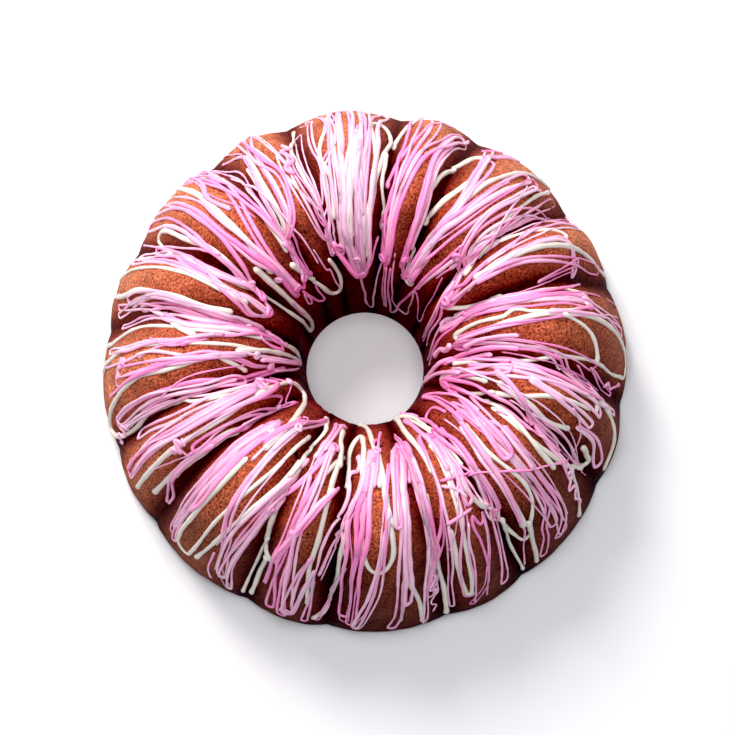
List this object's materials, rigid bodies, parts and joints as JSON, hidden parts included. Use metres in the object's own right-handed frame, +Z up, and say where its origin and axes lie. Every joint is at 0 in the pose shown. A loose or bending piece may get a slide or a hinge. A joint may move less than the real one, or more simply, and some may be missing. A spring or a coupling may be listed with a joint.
{
  "type": "bundt cake",
  "caption": "Whole fluted ring cake, golden-brown and solid, with a round hole and white and pink icing drizzled to and fro over the top.",
  "frame": {"origin": "on the ring's axis, at the flat base that the cake stands on", "axes": "+Z up along the ring's axis; +X to the right and +Y away from the viewer as pictured"},
  "size_m": [0.2496, 0.2496, 0.089],
  "materials": {
    "cake_crust": "matte",
    "white_icing": "satin",
    "pink_icing": "satin"
  },
  "bodies": {
    "root": {"cake": "cake_crust"}
  },
  "joints": []
}
